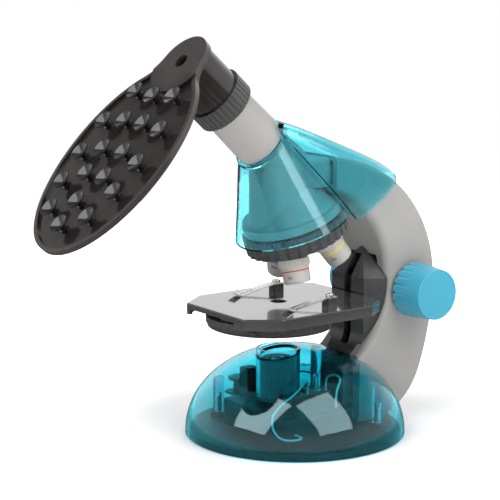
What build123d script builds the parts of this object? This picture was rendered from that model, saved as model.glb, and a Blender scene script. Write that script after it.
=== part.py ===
from build123d import *
import os
from math import atan, cos, sin, tan, pi, sqrt, hypot, radians, degrees

# Toy student microscope, millimetres. +Z up, +Y to the arm, -Y to the user, +X to the user's right.
# The origin is the centre of the round base, on the surface that the base stands on.

os.makedirs("parts", exist_ok=True)

# ---------------------------------------------------------------- driving dimensions
GAP = 0.15                 # clearance left between pieces that only meet
WALL = 2.0                 # moulded wall of the casings

# base
BASE_R = 65.0              # outer radius of the clear dome
DOME_Z = 1.2               # height of the dome's widest circle
DOME_RISE = 50.5           # rise of the dome above that circle
PLATE_R = 62.3
STAND_Z = 1.5              # underside of the plate, above the standing ring
PLATE_TOP = 4.0
SCREW_R = 49.0             # pitch radius of the base screws
SCREW_ANGLES = (45, 135, 213)
PAD_R = 51.0
PAD_ANGLES = (15, 165, 245, 290)

# battery box
BOX_C = (6.0, -10.0)
BOX_W, BOX_D = 64.0, 48.0
BOX_TOP = 19.6
BOX_WALL = 1.5
CELL_R, CELL_L, CELL_PITCH = 7.0, 49.2, 14.6

# optics
AXIS_Y = -12.4             # vertical optical axis, x = 0
PRISM_Z = 161.15           # where the tube axis meets the optical axis
TUBE_TILT = 42.35          # rise of the tube above the horizontal, degrees
TUBE_R, TUBE_BORE = 13.25, 11.75           # where the tube sits in the head
TUBE_FOOT_R, TUBE_END_R = 15.3, 14.2       # tapered part that shows

# stage
STAGE_TOP = 79.8
STAGE_HALF_W = 41.5
STAGE_FRONT, STAGE_BACK = -58.0, 38.4
SLAB_T, SKIRT_T, SKIRT_H = 2.6, 2.2, 6.5
HOLE_R = 4.75

# arm and column
ARM_HALF_W = 21.0
ARM_WALL = 2.2
ARM_END_Y = 13.0           # front end of the arm inside the hood
ARM_TOP_Z, ARM_TOP_SLOPE = 164.6, -0.10    # where the arm's back starts, and how it falls there
INNER_C, INNER_R = (-5.3, 88.8), 58.2      # circle of the arm's hollow side, in (y, z)
ARM_BACK = ((64.5, 142.2), (90.6, 82), (80, 30.5), (51, 4.15))     # ends of the arcs of its back
COLUMN_HALF_W = 15.0
COLUMN_FRONT = 39.5
EAVE_Z, APEX_Y, APEX_Z = 89.3, 50.5, 106.7

# focus drive
SHAFT_Y, SHAFT_Z = 71.4, 80.7
SHAFT_R = 2.0
MODULE, TEETH = 0.8, 15
PITCH_R = MODULE * TEETH / 2
TOOTH = 0.9                # tooth thickness at the pitch line, leaving free backlash

# revolving nosepiece
TURRET_TILT = 19.5
APEX = Vector(0, AXIS_Y, 153.4)    # the three objective axes and the turret axis meet here
TURRET_R = 30.5
TURRET_TOP, TURRET_BOTTOM = 29.0, 40.2     # along the turret axis, from APEX
SEAT = 48.5                                # objective shoulder, along its own axis, from APEX
OBJECTIVES = {"4x": (38.0, 14.0), "10x": (158.0, 17.0), "40x": (-82.0, 19.0)}   # angle, length

# eyepiece and phone holder, as distances along the tube axis from the prism
SOCKET_T = 14.0            # end of the head's socket, where the tapered part of the tube begins
COLLAR_T = 16.5
TUBE_END_T = 54.6
RING_T0, RING_T1 = 50.6, 62.5
SLEEVE_T0 = 62.8
FIELD_T0, FIELD_T1 = 86.3, 87.9
HUB_T = 90.4
CUP_RIM_T = 93.6

# ---------------------------------------------------------------- helpers
UP_AXIS = Vector(0, -sin(radians(TURRET_TILT)), cos(radians(TURRET_TILT)))
TUBE_DIR = Vector(0, -cos(radians(TUBE_TILT)), sin(radians(TUBE_TILT)))
PRISM = Vector(0, AXIS_Y, PRISM_Z)


def publish(builder, name):
    """Label the finished piece and write it as its own STEP file."""
    builder.part.label = name
    export_step(builder.part, f"parts/{name}.step")
    return builder.part


def tube_plane(t):
    """Plane across the tube axis, t from the prism: x to the right, y up the slope."""
    return Plane(origin=PRISM + TUBE_DIR * t, x_dir=(1, 0, 0), z_dir=TUBE_DIR)


def turret_plane(w):
    """Plane across the turret axis, w below APEX, its normal up the axis."""
    return Plane(origin=APEX - UP_AXIS * w, x_dir=(1, 0, 0), z_dir=UP_AXIS)


def objective_dir(angle):
    """Direction of an objective turned by angle from the working position."""
    tilt, turn = radians(TURRET_TILT), radians(angle)
    return Vector(
        sin(tilt) * sin(turn),
        sin(tilt) * cos(tilt) * (1 - cos(turn)),
        -cos(tilt) ** 2 - sin(tilt) ** 2 * cos(turn),
    )


def objective_plane(angle, q):
    """Plane across an objective's axis, q from APEX, its normal towards the specimen."""
    axis = objective_dir(angle)
    return Plane(origin=APEX + axis * q, x_dir=Vector(0, 1, 0).cross(axis), z_dir=axis)


def ring_points(radius, angles, centre=(0, 0)):
    return [(centre[0] + radius * cos(radians(a)), centre[1] + radius * sin(radians(a))) for a in angles]


def dome_height(radius, shrink=0.0):
    """Height of the dome's surface at a distance from its centre."""
    a, c = BASE_R - shrink, DOME_RISE - shrink
    return DOME_Z + c * sqrt(1 - (radius / a) ** 2)


# ---------------------------------------------------------------- shapes that several pieces share
def arm_profile():
    """Side outline of the crescent arm, as a sketch with y across and z up."""
    start_z = INNER_C[1] + sqrt(INNER_R ** 2 - (ARM_END_Y - INNER_C[0]) ** 2)
    foot_y = 32.0
    foot_z = INNER_C[1] - sqrt(INNER_R ** 2 - (foot_y - INNER_C[0]) ** 2)
    with BuildSketch() as outline:
        with BuildLine():
            start, heading = (ARM_END_Y, ARM_TOP_Z), (1, ARM_TOP_SLOPE)
            for end in ARM_BACK:
                back = TangentArc(start, end, tangent=heading)
                start, heading = back @ 1, back % 1
            Polyline(start, (foot_y, PLATE_TOP + GAP), (foot_y, foot_z))
            ThreePointArc((foot_y, foot_z), (INNER_C[0] + INNER_R, INNER_C[1]), (ARM_END_Y, start_z))
            Line((ARM_END_Y, start_z), (ARM_END_Y, ARM_TOP_Z))
        make_face()
    return outline.sketch


def arm_envelope(margin):
    """The arm's outer volume, both halves, grown by margin: used to clear its neighbours."""
    with BuildPart() as solid:
        with BuildSketch(Plane.YZ):
            add(arm_profile())
            offset(amount=margin, kind=Kind.INTERSECTION)
        extrude(amount=ARM_HALF_W + margin, both=True)
    return solid.part


def column_outer(margin):
    """The column's outer volume before the arm is taken out of it, grown by margin."""
    half, front = COLUMN_HALF_W + margin, COLUMN_FRONT - margin
    with BuildPart() as solid:
        with BuildSketch(Plane.XY.offset(46)) as plan:
            Polygon(
                (-half, front), (half, front), (ARM_HALF_W - 0.4 + margin, 51),
                (ARM_HALF_W - 0.4 + margin, 60), (-ARM_HALF_W + 0.4 - margin, 60),
                (-ARM_HALF_W + 0.4 - margin, 51), align=None,
            )
        extrude(amount=EAVE_Z - 46)
        eave = plan.sketch.faces()[0].moved(Location((0, 0, EAVE_Z - 46)))
        loft(sections=[eave, Vertex(0, APEX_Y, APEX_Z)])
        # below the eaves the front steps forward in a curve and goes down inside the dome
        with BuildSketch(Plane.YZ):
            with BuildLine():
                Polyline((front, 60), (front, 56))
                ThreePointArc((front, 56), (37.0 - margin, 48.5), (31.5 - margin, 43))
                Polyline(
                    (31.5 - margin, 43), (24 - margin, 38), (24 - margin, PLATE_TOP + GAP),
                    (31.8, PLATE_TOP + GAP), (31.8, 43), (46, 48), (46, 60), (front, 60),
                )
            make_face()
        extrude(amount=half, both=True)
    return solid.part


# ================================================================ base
with BuildPart() as base_plate:
    with BuildSketch():
        Circle(PLATE_R)
        Circle(PLATE_R - 5, mode=Mode.SUBTRACT)
    extrude(amount=STAND_Z)
    with BuildSketch(Plane.XY.offset(STAND_Z)):
        Circle(PLATE_R)
    extrude(amount=PLATE_TOP - STAND_Z)
    # bosses that lift the screw heads clear of the table
    with BuildSketch(Plane.XY.offset(PLATE_TOP)):
        with Locations(*ring_points(SCREW_R, SCREW_ANGLES)):
            Circle(5)
    extrude(amount=3.0)
    with Locations(*[(x, y, STAND_Z) for x, y in ring_points(SCREW_R, SCREW_ANGLES)]):
        Cylinder(3.3, 3.2, align=(Align.CENTER, Align.CENTER, Align.MIN), mode=Mode.SUBTRACT)
        Cylinder(1.6, 6, align=(Align.CENTER, Align.CENTER, Align.MIN), mode=Mode.SUBTRACT)
    with Locations(*[(x, y, STAND_Z) for x, y in ring_points(PAD_R, PAD_ANGLES)]):
        Cylinder(5.2, 0.5, align=(Align.CENTER, Align.CENTER, Align.MIN), mode=Mode.SUBTRACT)
    # opening for the battery door, with a ledge that the door rests against
    with BuildSketch(Plane.XY.offset(STAND_Z)):
        with Locations(BOX_C):
            Rectangle(BOX_W - 4, BOX_D - 3.4)
    extrude(amount=PLATE_TOP, mode=Mode.SUBTRACT)
    with BuildSketch(Plane.XY.offset(STAND_Z)):
        with Locations((BOX_C[0] - BOX_W / 2 - 2.5, BOX_C[1])):
            Rectangle(15, 12)
    extrude(amount=1.3, mode=Mode.SUBTRACT)
    with Locations((BOX_C[0] - BOX_W / 2 - 5.5, BOX_C[1], STAND_Z)):
        Cylinder(1.2, 5, align=(Align.CENTER, Align.CENTER, Align.MIN), mode=Mode.SUBTRACT)
publish(base_plate, "base_plate")

with BuildPart() as rubber_pads:
    with Locations(*ring_points(PAD_R, PAD_ANGLES)):
        Cylinder(5.0, STAND_Z + 0.5, align=(Align.CENTER, Align.CENTER, Align.MIN))
publish(rubber_pads, "rubber_pads")

COLLAR_OUT, COLLAR_IN = 12.9, 11.2
COLLAR_FOOT = 23.8
BOSS = (4.5, 12.0)
WHEEL = (-50.2, -1.0)
WHEEL_R, WHEEL_Z, WHEEL_T = 9.6, 21.4, 2.4


def dome_solid(shrink):
    """Half ellipsoid of the dome, reduced by shrink, down to its lower edge."""
    a, c = BASE_R - shrink, DOME_RISE - shrink
    with BuildPart() as solid:
        with BuildSketch(Plane.XZ):
            with BuildLine():
                Line((0, 0.4), (a, 0.4))
                Line((a, 0.4), (a, DOME_Z))
                EllipticalCenterArc((0, DOME_Z), a, c, start_angle=0, arc_size=90)
                Line((0, DOME_Z + c), (0, 0.4))
            make_face()
        revolve(axis=Axis.Z)
    return solid.part


dome_outer = dome_solid(0)
dome_inner = dome_solid(WALL)

with BuildPart() as base_dome:
    add(dome_outer)
    add(dome_inner, mode=Mode.SUBTRACT)
    # collar that guides the lamp, its rim standing a little proud of the dome
    with BuildSketch(Plane.XY.offset(COLLAR_FOOT)):
        with Locations((0, AXIS_Y)):
            Circle(COLLAR_OUT)
    extrude(amount=28.5)
    with BuildSketch(Plane.XY.offset(COLLAR_FOOT - 1)):
        with Locations((0, AXIS_Y)):
            Circle(COLLAR_IN)
    extrude(amount=40, mode=Mode.SUBTRACT)
    # clear bosses under the dome: three for the base screws, one for the lamp board
    with BuildSketch(Plane.XY.offset(7.2)):
        with Locations(*ring_points(SCREW_R, SCREW_ANGLES)):
            Circle(3.4)
    extrude(amount=dome_height(SCREW_R + 3.4, WALL) - 7.2 + 0.6)
    with BuildSketch(Plane.XY.offset(COLLAR_FOOT)):
        with Locations(BOSS):
            Circle(3.2)
    extrude(amount=dome_height(hypot(*BOSS), WALL) - COLLAR_FOOT + 0.5)
    with Locations(*[(x, y, 7.2) for x, y in ring_points(SCREW_R, SCREW_ANGLES)]):
        Cylinder(1.35, 12, align=(Align.CENTER, Align.CENTER, Align.MIN), mode=Mode.SUBTRACT)
    with Locations((*BOSS, COLLAR_FOOT)):
        Cylinder(1.05, 10, align=(Align.CENTER, Align.CENTER, Align.MIN), mode=Mode.SUBTRACT)
    # slot that the brightness wheel looks through
    with Locations((*WHEEL, WHEEL_Z + WHEEL_T / 2)):
        Cylinder(WHEEL_R + 0.5, WHEEL_T + 1.2, mode=Mode.SUBTRACT)
    # opening that the arm and the column pass through
    add(arm_envelope(0.35), mode=Mode.SUBTRACT)
    add(column_outer(0.35), mode=Mode.SUBTRACT)
publish(base_dome, "base_dome")

with BuildPart() as base_screws:
    for x, y in ring_points(SCREW_R, SCREW_ANGLES):
        with Locations((x, y, 2.6)):
            Cylinder(2.9, 2.1, align=(Align.CENTER, Align.CENTER, Align.MIN))
            Cylinder(1.3, 14, align=(Align.CENTER, Align.CENTER, Align.MIN))
            Box(3.6, 0.8, 1.2, align=(Align.CENTER, Align.CENTER, Align.CENTER), mode=Mode.SUBTRACT)
            Box(0.8, 3.6, 1.2, align=(Align.CENTER, Align.CENTER, Align.CENTER), mode=Mode.SUBTRACT)
publish(base_screws, "base_screws")

with BuildPart() as battery_box:
    with BuildSketch(Plane.XY.offset(PLATE_TOP)):
        with Locations(BOX_C):
            RectangleRounded(BOX_W, BOX_D, 2)
    extrude(amount=BOX_TOP - PLATE_TOP)
    with BuildSketch(Plane.XY.offset(PLATE_TOP)):
        with Locations(BOX_C):
            Rectangle(BOX_W - 2 * BOX_WALL, BOX_D - 2 * BOX_WALL)
    extrude(amount=BOX_TOP - PLATE_TOP - BOX_WALL, mode=Mode.SUBTRACT)
    fillet(battery_box.faces().sort_by(Axis.Z)[-1].edges(), 0.8)
publish(battery_box, "battery_box")

with BuildPart() as battery_door:
    with BuildSketch(Plane.XY.offset(STAND_Z + 0.1)):
        with Locations(BOX_C):
            Rectangle(BOX_W - 4.6, BOX_D - 4)
        with Locations((BOX_C[0] - BOX_W / 2 - 2.5, BOX_C[1])):
            Rectangle(14.4, 11.4)
    extrude(amount=1.1)
    with BuildSketch(Plane.XY.offset(STAND_Z + 1.2)):
        with Locations(BOX_C):
            Rectangle(BOX_W - 5, BOX_D - 4.4)
    extrude(amount=0.9)
    with Locations((BOX_C[0] - BOX_W / 2 - 5.5, BOX_C[1], STAND_Z)):
        Cylinder(1.6, 3, align=(Align.CENTER, Align.CENTER, Align.MIN), mode=Mode.SUBTRACT)
    with BuildSketch(Plane.XY.offset(STAND_Z + 0.1)):
        with Locations((BOX_C[0] + 18, BOX_C[1])):
            with GridLocations(3, 0, 5, 1):
                Rectangle(1.2, 20)
    extrude(amount=0.5, mode=Mode.SUBTRACT)
publish(battery_door, "battery_door")

with BuildPart() as battery_door_screw:
    with Locations((BOX_C[0] - BOX_W / 2 - 5.5, BOX_C[1], 0.6)):
        Cylinder(2.6, 1.0, align=(Align.CENTER, Align.CENTER, Align.MIN))
        Cylinder(1.15, 5.5, align=(Align.CENTER, Align.CENTER, Align.MIN))
        Box(3.2, 0.7, 0.8, mode=Mode.SUBTRACT)
publish(battery_door_screw, "battery_door_screw")

CELL_Z = STAND_Z + 2.1 + 0.1 + CELL_R
cell_rows = [BOX_C[1] + k * CELL_PITCH for k in (-1, 0, 1)]
with BuildPart() as aa_cells:
    for k, row in enumerate(cell_rows):
        flip = -1 if k == 1 else 1
        with BuildSketch(Plane(origin=(BOX_C[0] - flip * CELL_L / 2, row, CELL_Z), z_dir=(flip, 0, 0))):
            Circle(CELL_R)
        extrude(amount=CELL_L)
        with BuildSketch(Plane(origin=(BOX_C[0] + flip * CELL_L / 2, row, CELL_Z), z_dir=(flip, 0, 0))):
            Circle(2.6)
        extrude(amount=1.0)
publish(aa_cells, "aa_cells")

with BuildPart() as battery_contacts:
    reach = BOX_W / 2 - BOX_WALL
    cell_play = reach - 0.5 - CELL_L / 2 - GAP
    for k, row in enumerate(cell_rows):
        flip = -1 if k == 1 else 1
        for end in (1, -1):
            with Locations((BOX_C[0] + end * (reach - 0.25), row, CELL_Z)):
                Box(0.5, 11, 11)
        # conical spring behind the flat end of the cell, as a hollow cone
        with BuildSketch(Plane(origin=(BOX_C[0] - flip * (reach - 0.5), row, CELL_Z), z_dir=(flip, 0, 0))):
            Circle(4.6)
            Circle(3.9, mode=Mode.SUBTRACT)
        extrude(amount=cell_play, taper=12)
        # stop behind the nub end
        with BuildSketch(Plane(origin=(BOX_C[0] + flip * (reach - 0.5), row, CELL_Z), z_dir=(-flip, 0, 0))):
            Circle(3.2)
        extrude(amount=cell_play - 1.0)
publish(battery_contacts, "battery_contacts")

# ---------------------------------------------------------------- lamp
BOARD_Z, BOARD_T = 22.0, 1.6
with BuildPart() as lamp_board:
    with BuildSketch(Plane.XY.offset(BOARD_Z)):
        with Locations((0, AXIS_Y)):
            Circle(13.4)
        with Locations((2.5, 6)):
            RectangleRounded(17, 27, 1.5)
    extrude(amount=BOARD_T)
    with Locations((*BOSS, BOARD_Z)):
        Cylinder(1.3, 5, mode=Mode.SUBTRACT)
    # legs down to the battery box
    with BuildSketch(Plane.XY.offset(BOX_TOP)):
        with Locations((-8, AXIS_Y - 4), (8, AXIS_Y - 4), (9, 10)):
            Circle(1.6)
    extrude(amount=BOARD_Z - BOX_TOP)
    # resistors and a regulator on the tail of the board
    with Locations((-3.2, 6, BOARD_Z + BOARD_T), (-3.2, 9.5, BOARD_Z + BOARD_T), (-3.2, 13, BOARD_Z + BOARD_T)):
        Box(3.2, 1.6, 1.0, align=(Align.CENTER, Align.CENTER, Align.MIN))
    with Locations((5, 4.5, BOARD_Z + BOARD_T)):
        Box(5, 4, 2.2, align=(Align.CENTER, Align.CENTER, Align.MIN))
publish(lamp_board, "lamp_board")

with BuildPart() as lamp_screw:
    with Locations((*BOSS, BOARD_Z)):
        Cylinder(1.0, 10, align=(Align.CENTER, Align.CENTER, Align.MIN))
        Cylinder(2.0, 1.3, align=(Align.CENTER, Align.CENTER, Align.MAX))
publish(lamp_screw, "lamp_screw")

HOLDER_R, HOLDER_TOP = 10.6, 46.3
with BuildPart() as lamp_holder:
    with BuildSketch(Plane.XY.offset(BOARD_Z + BOARD_T)):
        with Locations((0, AXIS_Y)):
            Circle(HOLDER_R)
    extrude(amount=HOLDER_TOP - BOARD_Z - BOARD_T)
    with BuildSketch(Plane.XY.offset(BOARD_Z + BOARD_T)):
        with Locations((0, AXIS_Y)):
            with PolarLocations(HOLDER_R + 0.2, 20):
                Circle(0.7)
    extrude(amount=HOLDER_TOP - BOARD_Z - BOARD_T - 2.5, mode=Mode.SUBTRACT)
    with Locations((0, AXIS_Y, BOARD_Z + BOARD_T)):
        Cylinder(8.4, 14, align=(Align.CENTER, Align.CENTER, Align.MIN), mode=Mode.SUBTRACT)
        Cylinder(3.1, 24, align=(Align.CENTER, Align.CENTER, Align.MIN), mode=Mode.SUBTRACT)
    with Locations((0, AXIS_Y, HOLDER_TOP - 2.6)):
        Cylinder(6.4, 3, align=(Align.CENTER, Align.CENTER, Align.MIN), mode=Mode.SUBTRACT)
    fillet(lamp_holder.faces().sort_by(Axis.Z)[-1].outer_wire().edges(), 0.6)
publish(lamp_holder, "lamp_holder")

LED_Z = 34.0
with BuildPart() as led_lamp:
    with Locations((0, AXIS_Y, LED_Z)):
        Cylinder(2.5, 6.0, align=(Align.CENTER, Align.CENTER, Align.MIN))
    with Locations((0, AXIS_Y, LED_Z + 6.0)):
        Sphere(2.5)
    with Locations((0, AXIS_Y, LED_Z)):
        Cylinder(2.9, 1.0, align=(Align.CENTER, Align.CENTER, Align.MIN))
    with Locations((-1.27, AXIS_Y, LED_Z), (1.27, AXIS_Y, LED_Z)):
        Box(0.5, 0.5, LED_Z - BOARD_Z - BOARD_T, align=(Align.CENTER, Align.CENTER, Align.MAX))
publish(led_lamp, "led_lamp")

LENS_R, LENS_SAG = 6.3, 2.5
CAP_R = (LENS_R ** 2 + LENS_SAG ** 2) / (2 * LENS_SAG)
with BuildPart() as condenser_lens:
    with Locations((0, AXIS_Y, HOLDER_TOP - 1.4 + LENS_SAG - CAP_R)):
        Sphere(CAP_R)
    with Locations((0, AXIS_Y, HOLDER_TOP - 1.4)):
        Cylinder(LENS_R, 10, align=(Align.CENTER, Align.CENTER, Align.MIN), mode=Mode.INTERSECT)
    with Locations((0, AXIS_Y, HOLDER_TOP - 2.6)):
        Cylinder(LENS_R, 1.2, align=(Align.CENTER, Align.CENTER, Align.MIN))
publish(condenser_lens, "condenser_lens")

# ---------------------------------------------------------------- brightness control
with BuildPart() as control_board:
    with BuildSketch(Plane.XY.offset(13.4)):
        with Locations((-43.5, -2.5)):
            RectangleRounded(25, 20, 1)
    extrude(amount=1.6)
    with BuildSketch(Plane.XY.offset(PLATE_TOP)):
        with Locations((-34, 5), (-36, -10), (-53, -1)):
            Circle(1.8)
    extrude(amount=13.4 - PLATE_TOP)
publish(control_board, "control_board")

with BuildPart() as potentiometer:
    with Locations((*WHEEL, 15.0)):
        Box(9.5, 9.5, 5.6, align=(Align.CENTER, Align.CENTER, Align.MIN))
        Cylinder(1.5, 10.5, align=(Align.CENTER, Align.CENTER, Align.MIN))
    # switch block beside the wheel, on the same moulding
    with Locations((-41, -5.5, 15.0)):
        Box(14, 4, 3.0, align=(Align.CENTER, Align.CENTER, Align.MIN))
    with Locations((-36.0, -7.5, 15.0)):
        Box(8.2, 8.2, 18.0, align=(Align.CENTER, Align.CENTER, Align.MIN))
    fillet(potentiometer.faces().sort_by(Axis.Z)[-1].edges(), 0.6)
publish(potentiometer, "potentiometer")

with BuildPart() as brightness_wheel:
    with BuildSketch(Plane.XY.offset(WHEEL_Z)):
        with Locations(WHEEL):
            Circle(WHEEL_R)
            with PolarLocations(WHEEL_R + 0.25, 36):
                Circle(0.55, mode=Mode.SUBTRACT)
    extrude(amount=WHEEL_T)
    with BuildSketch(Plane.XY.offset(WHEEL_Z + WHEEL_T)):
        with Locations(WHEEL):
            Circle(3.4)
    extrude(amount=1.6)
    with Locations((*WHEEL, WHEEL_Z)):
        Cylinder(1.58, 9.6, align=(Align.CENTER, Align.CENTER, Align.MIN), mode=Mode.SUBTRACT)
publish(brightness_wheel, "brightness_wheel")

# ---------------------------------------------------------------- leads inside the base
LEAD_R = 0.6
LEADS = {
    "lead_positive": [(31, 6, BOX_TOP), (31, 6, 29), (27, 13, 34.5), (18, 16.5, 35), (8.5, 16.5, 32),
                      (8.5, 16.5, BOARD_Z + BOARD_T)],
    "lead_negative": [(9.6, 2, BOARD_Z + BOARD_T), (9.6, 2, 31), (16, -5, 33), (20, -15, 28.5), (21, -26, 24),
                      (26, -36.5, 20), (34, -41.5, 14.5), (42, -42, 11.4), (47, -36.5, 11), (45.8, -29, 11),
                      (BOX_C[0] + BOX_W / 2, -29, 11)],
    "lead_control": [(-35, 4.5, 15), (-35, 4.5, 22), (-30, 10, 27), (-21, 13, 29.5), (-12, 15.5, 31.5),
                     (-4, 17, 31.5), (-4, 17, BOARD_Z + BOARD_T)],
}


def lead_radii(points):
    """Bend radius at each inner point, as large as its two runs allow."""
    spots = [Vector(*p) for p in points]
    radii = []
    for before, here, after in zip(spots, spots[1:], spots[2:]):
        turn = radians((here - before).get_angle(after - here))
        shorter = min((here - before).length, (after - here).length)
        radii.append(0.45 * shorter / tan(turn / 2))
    return radii


for lead, points in LEADS.items():
    radii = lead_radii(points)
    with BuildPart() as wire:
        with BuildLine() as route:
            FilletPolyline(*points, radius=radii)
        with BuildSketch(Plane(origin=route.line @ 0, z_dir=route.line % 0)):
            Circle(LEAD_R)
        sweep()
    publish(wire, lead)
    length = sum(edge.length for edge in route.edges())
    print(lead, "radii", [round(r, 1) for r in radii], "length", round(length, 1),
          "volume ratio", round(wire.part.volume / (pi * LEAD_R ** 2 * length), 3))

# ================================================================ arm and column
BUSH_R = 4.2
WINDOW_Z0, WINDOW_Z1 = 42.0, 102.0
ARM_SCREWS = ((30, 153), (72, 118), (82, 62), (64, 28))


def arm_shell(side):
    """One half of the crescent arm: side is 1 for the user's right, -1 for the left."""
    with BuildPart() as shell:
        with BuildSketch(Plane.YZ):
            add(arm_profile())
        extrude(amount=ARM_HALF_W)
        for radius, on_hollow_side in ((3.0, False), (5.0, True)):
            arcs = shell.faces().sort_by(Axis.X)[-1].edges().filter_by(GeomType.CIRCLE)
            fillet([arc for arc in arcs if (abs(arc.radius - INNER_R) < 0.1) == on_hollow_side], radius)
        with BuildSketch(Plane.YZ):
            add(arm_profile())
            offset(amount=-ARM_WALL, kind=Kind.INTERSECTION, mode=Mode.REPLACE)
        extrude(amount=ARM_HALF_W - ARM_WALL, mode=Mode.SUBTRACT)
        with Locations((ARM_HALF_W, SHAFT_Y, SHAFT_Z)):
            Cylinder(BUSH_R, 12, rotation=(0, 90, 0), mode=Mode.SUBTRACT)
        # window in the hollow side for the focusing slide
        with Locations((0, 45, WINDOW_Z0)):
            Box(24, 34, WINDOW_Z1 - WINDOW_Z0, align=(Align.CENTER, Align.CENTER, Align.MIN),
                mode=Mode.SUBTRACT)
        # mouth that takes the head's tongue
        with Locations((0, ARM_END_Y, 155.2)):
            Box(2 * 17.4, 8, 13.4, mode=Mode.SUBTRACT)
        # pillars for the screws that close the arm
        for y, z in ARM_SCREWS:
            with BuildSketch(Plane.YZ):
                with Locations((y, z)):
                    Circle(3.4)
            extrude(amount=ARM_HALF_W - ARM_WALL + 0.2)
            with BuildSketch(Plane.YZ):
                with Locations((y, z)):
                    Circle(1.5)
            extrude(amount=ARM_HALF_W - ARM_WALL - 1, mode=Mode.SUBTRACT)
    half = shell.part
    return half if side > 0 else mirror(half, about=Plane.YZ)


for side, name in ((1, "arm_right"), (-1, "arm_left")):
    with BuildPart() as arm_half:
        add(arm_shell(side))
    publish(arm_half, name)

with BuildPart() as arm_screws:
    for y, z in ARM_SCREWS:
        with Locations((0, y, z)):
            Cylinder(1.45, 30, rotation=(0, 90, 0))
publish(arm_screws, "arm_screws")

SLIDE_HALF_W = 11.0
NECK_HALF_W = 2.8
with BuildPart(mode=Mode.PRIVATE) as arm_round_window:
    add(arm_envelope(GAP))
    with Locations((0, 60, WINDOW_Z1 - 0.2)):
        Box(2 * (SLIDE_HALF_W + 0.7), 140, 200, align=(Align.CENTER, Align.CENTER, Align.MAX),
            mode=Mode.SUBTRACT)

with BuildPart() as focus_column:
    add(column_outer(0))
    # guide way for the slide, open to the arm behind
    with BuildSketch(Plane.XY.offset(48)):
        with Locations((0, 57.7)):
            Rectangle(2 * SLIDE_HALF_W + 0.8, 30)
    extrude(amount=44.5, mode=Mode.SUBTRACT)
    with BuildSketch(Plane.XY.offset(48)):
        with Locations((0, 50)):
            Rectangle(2 * NECK_HALF_W + 0.8, 44)
    extrude(amount=54, mode=Mode.SUBTRACT)
    # hollow of the lower block
    with BuildSketch(Plane.XY.offset(PLATE_TOP)):
        with Locations((0, 32)):
            Rectangle(2 * COLUMN_HALF_W - 5, 12)
    extrude(amount=32, mode=Mode.SUBTRACT)
    # the sides stop at the arm, the middle reaches in through the arm's window
    add(arm_round_window.part, mode=Mode.SUBTRACT)
publish(focus_column, "focus_column")

# ================================================================ focus drive
def gear_outline(teeth, pitch_r, tip, root, thickness):
    """Outline of a small spur gear with straight-flanked teeth, first gap centred on angle 180."""
    points = []
    step = 2 * pi / teeth
    for k in range(teeth):
        middle = pi + step * (k + 0.5)
        for radius, half in ((root, 0.5 * thickness + 0.30), (tip, 0.5 * thickness - 0.24)):
            points.append((radius, middle - half / radius))
        for radius, half in ((tip, 0.5 * thickness - 0.24), (root, 0.5 * thickness + 0.30)):
            points.append((radius, middle + half / radius))
    return [(r * cos(a), r * sin(a)) for r, a in points]


PINION_TIP, PINION_ROOT = PITCH_R + 0.7, PITCH_R - 1.0
PINION_HALF_W = 3.2
with BuildPart() as focus_pinion:
    with BuildSketch(Plane.YZ.offset(-PINION_HALF_W)):
        with Locations((SHAFT_Y, SHAFT_Z)):
            Polygon(*gear_outline(TEETH, PITCH_R, PINION_TIP, PINION_ROOT, TOOTH), align=None)
            Circle(SHAFT_R + 0.01, mode=Mode.SUBTRACT)
    extrude(amount=2 * PINION_HALF_W)
    with BuildSketch(Plane.YZ.offset(PINION_HALF_W)):
        with Locations((SHAFT_Y, SHAFT_Z)):
            Circle(4.0)
            Circle(SHAFT_R + 0.01, mode=Mode.SUBTRACT)
    extrude(amount=4)
publish(focus_pinion, "focus_pinion")

RACK_PITCH = pi * MODULE
RACK_LINE = SHAFT_Y - PITCH_R
RACK_BACK = RACK_LINE - 6.5
RACK_ROOT = RACK_LINE - 1.0
RACK_Z0, RACK_Z1 = 70.0, 98.0
with BuildPart() as focus_rack:
    with BuildSketch(Plane.YZ.offset(-3)):
        with Locations(((RACK_BACK + RACK_ROOT) / 2, (RACK_Z0 + RACK_Z1) / 2)):
            Rectangle(RACK_ROOT - RACK_BACK, RACK_Z1 - RACK_Z0)
        for k in range(-4, 7):
            z = SHAFT_Z + k * RACK_PITCH
            root_half, tip_half = TOOTH / 2 + 0.36, TOOTH / 2 - 0.25
            Polygon(
                (RACK_ROOT - 0.1, z - root_half), (RACK_LINE + 0.7, z - tip_half),
                (RACK_LINE + 0.7, z + tip_half), (RACK_ROOT - 0.1, z + root_half), align=None,
            )
    extrude(amount=6)
publish(focus_rack, "focus_rack")

NECK_Z0, NECK_Z1 = 63.0, 78.6
with BuildPart() as stage_carriage:
    with BuildSketch(Plane.XY.offset(62)):
        with Locations((0, 45.2)):
            Rectangle(2 * SLIDE_HALF_W, 4.6)
    extrude(amount=26)
    with BuildSketch(Plane.XY.offset(66)):
        with Locations((0, (47.5 + RACK_BACK) / 2)):
            Rectangle(7, RACK_BACK - 47.5)
    extrude(amount=22)
    with BuildSketch(Plane.YZ):
        Polygon(
            (STAGE_BACK, NECK_Z0 + 8), (43.4, NECK_Z0), (43.4, NECK_Z1), (STAGE_BACK, NECK_Z1), align=None
        )
    extrude(amount=NECK_HALF_W, both=True)
    chamfer(stage_carriage.edges().filter_by(Axis.Z).filter_by_position(Axis.Y, 42, 48), 0.5)
publish(stage_carriage, "stage_carriage")

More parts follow.
